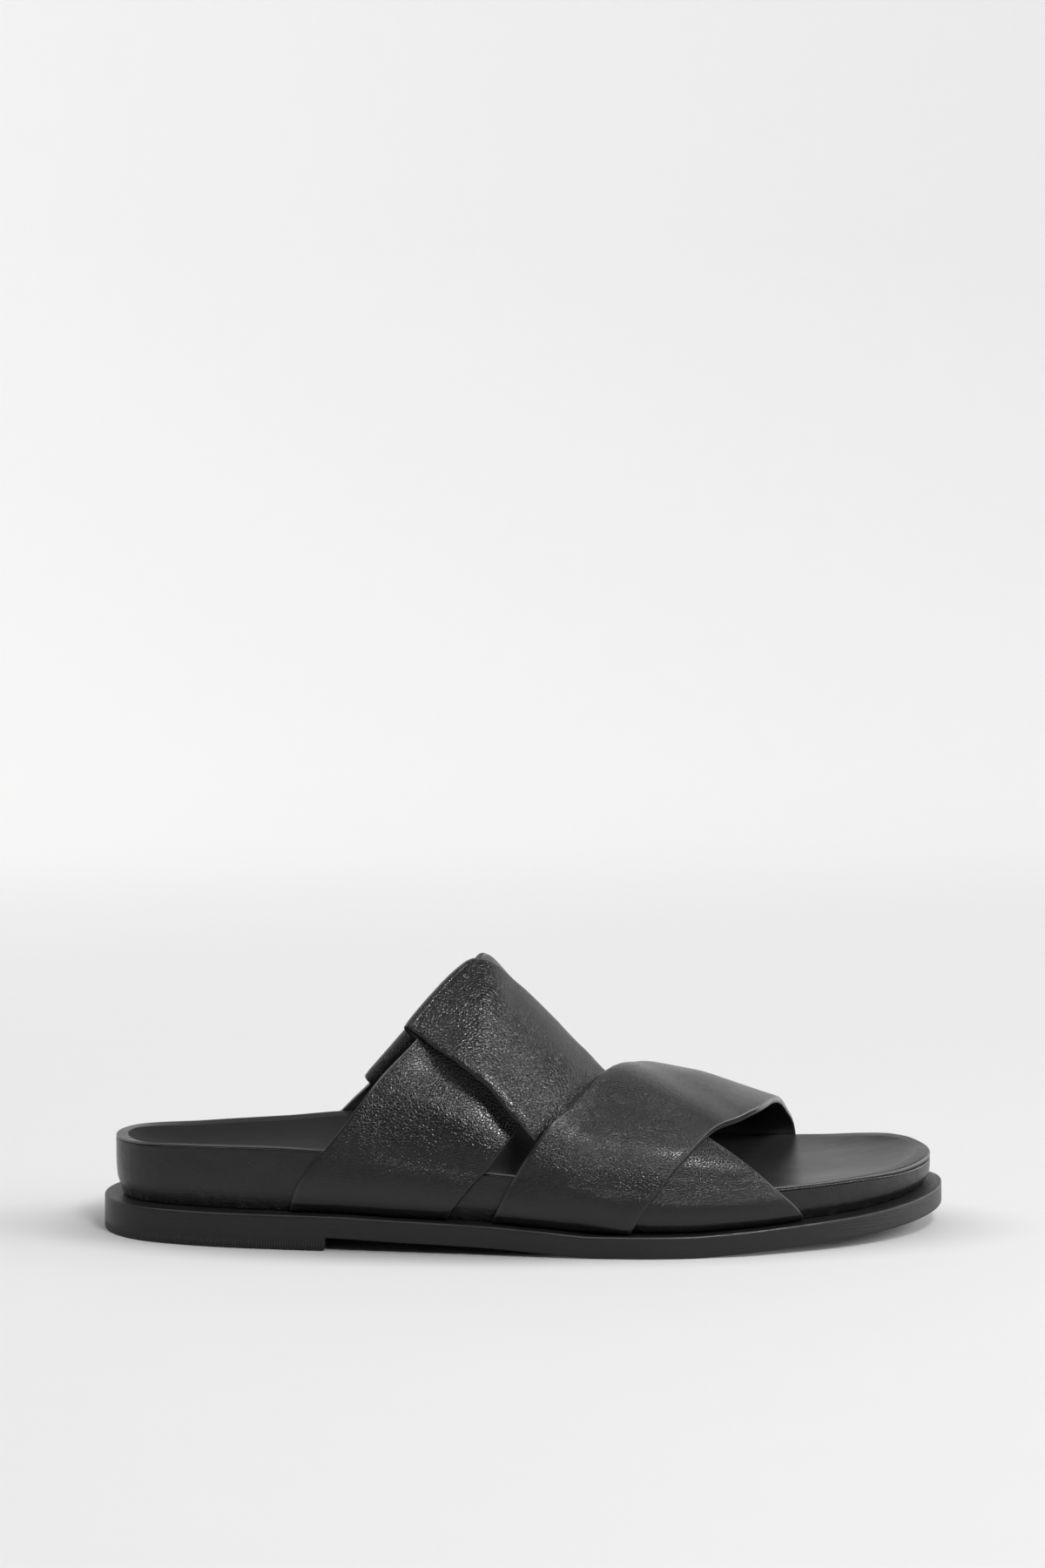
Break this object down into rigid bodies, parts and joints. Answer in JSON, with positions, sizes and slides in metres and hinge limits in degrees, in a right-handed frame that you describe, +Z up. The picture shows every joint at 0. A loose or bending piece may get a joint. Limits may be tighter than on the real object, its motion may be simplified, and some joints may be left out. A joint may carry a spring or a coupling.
{
  "type": "slide sandal",
  "caption": "Flat black leather slide sandal for the right foot: wide crossed straps over the instep and forefoot, a dished footbed and a thin sole with a low heel.",
  "frame": {"origin": "middle of the sandal's box, on the floor that it stands on", "axes": "+X from heel to toe, +Y towards the inner (medial) side, +Z up"},
  "size_m": [0.256, 0.0938, 0.0825],
  "materials": {
    "sole_edge": "dark stacked edge, fine streaks along it, satin",
    "midsole_leather": "black wrapped leather, faint grain, satin",
    "insole_leather": "black smooth lining leather, fine pores, satin",
    "strap_leather": "black pebbled leather, semi-gloss"
  },
  "bodies": {
    "root": {"outsole": "sole_edge", "midsole": "midsole_leather", "insole": "insole_leather", "upper": "strap_leather"}
  },
  "joints": []
}
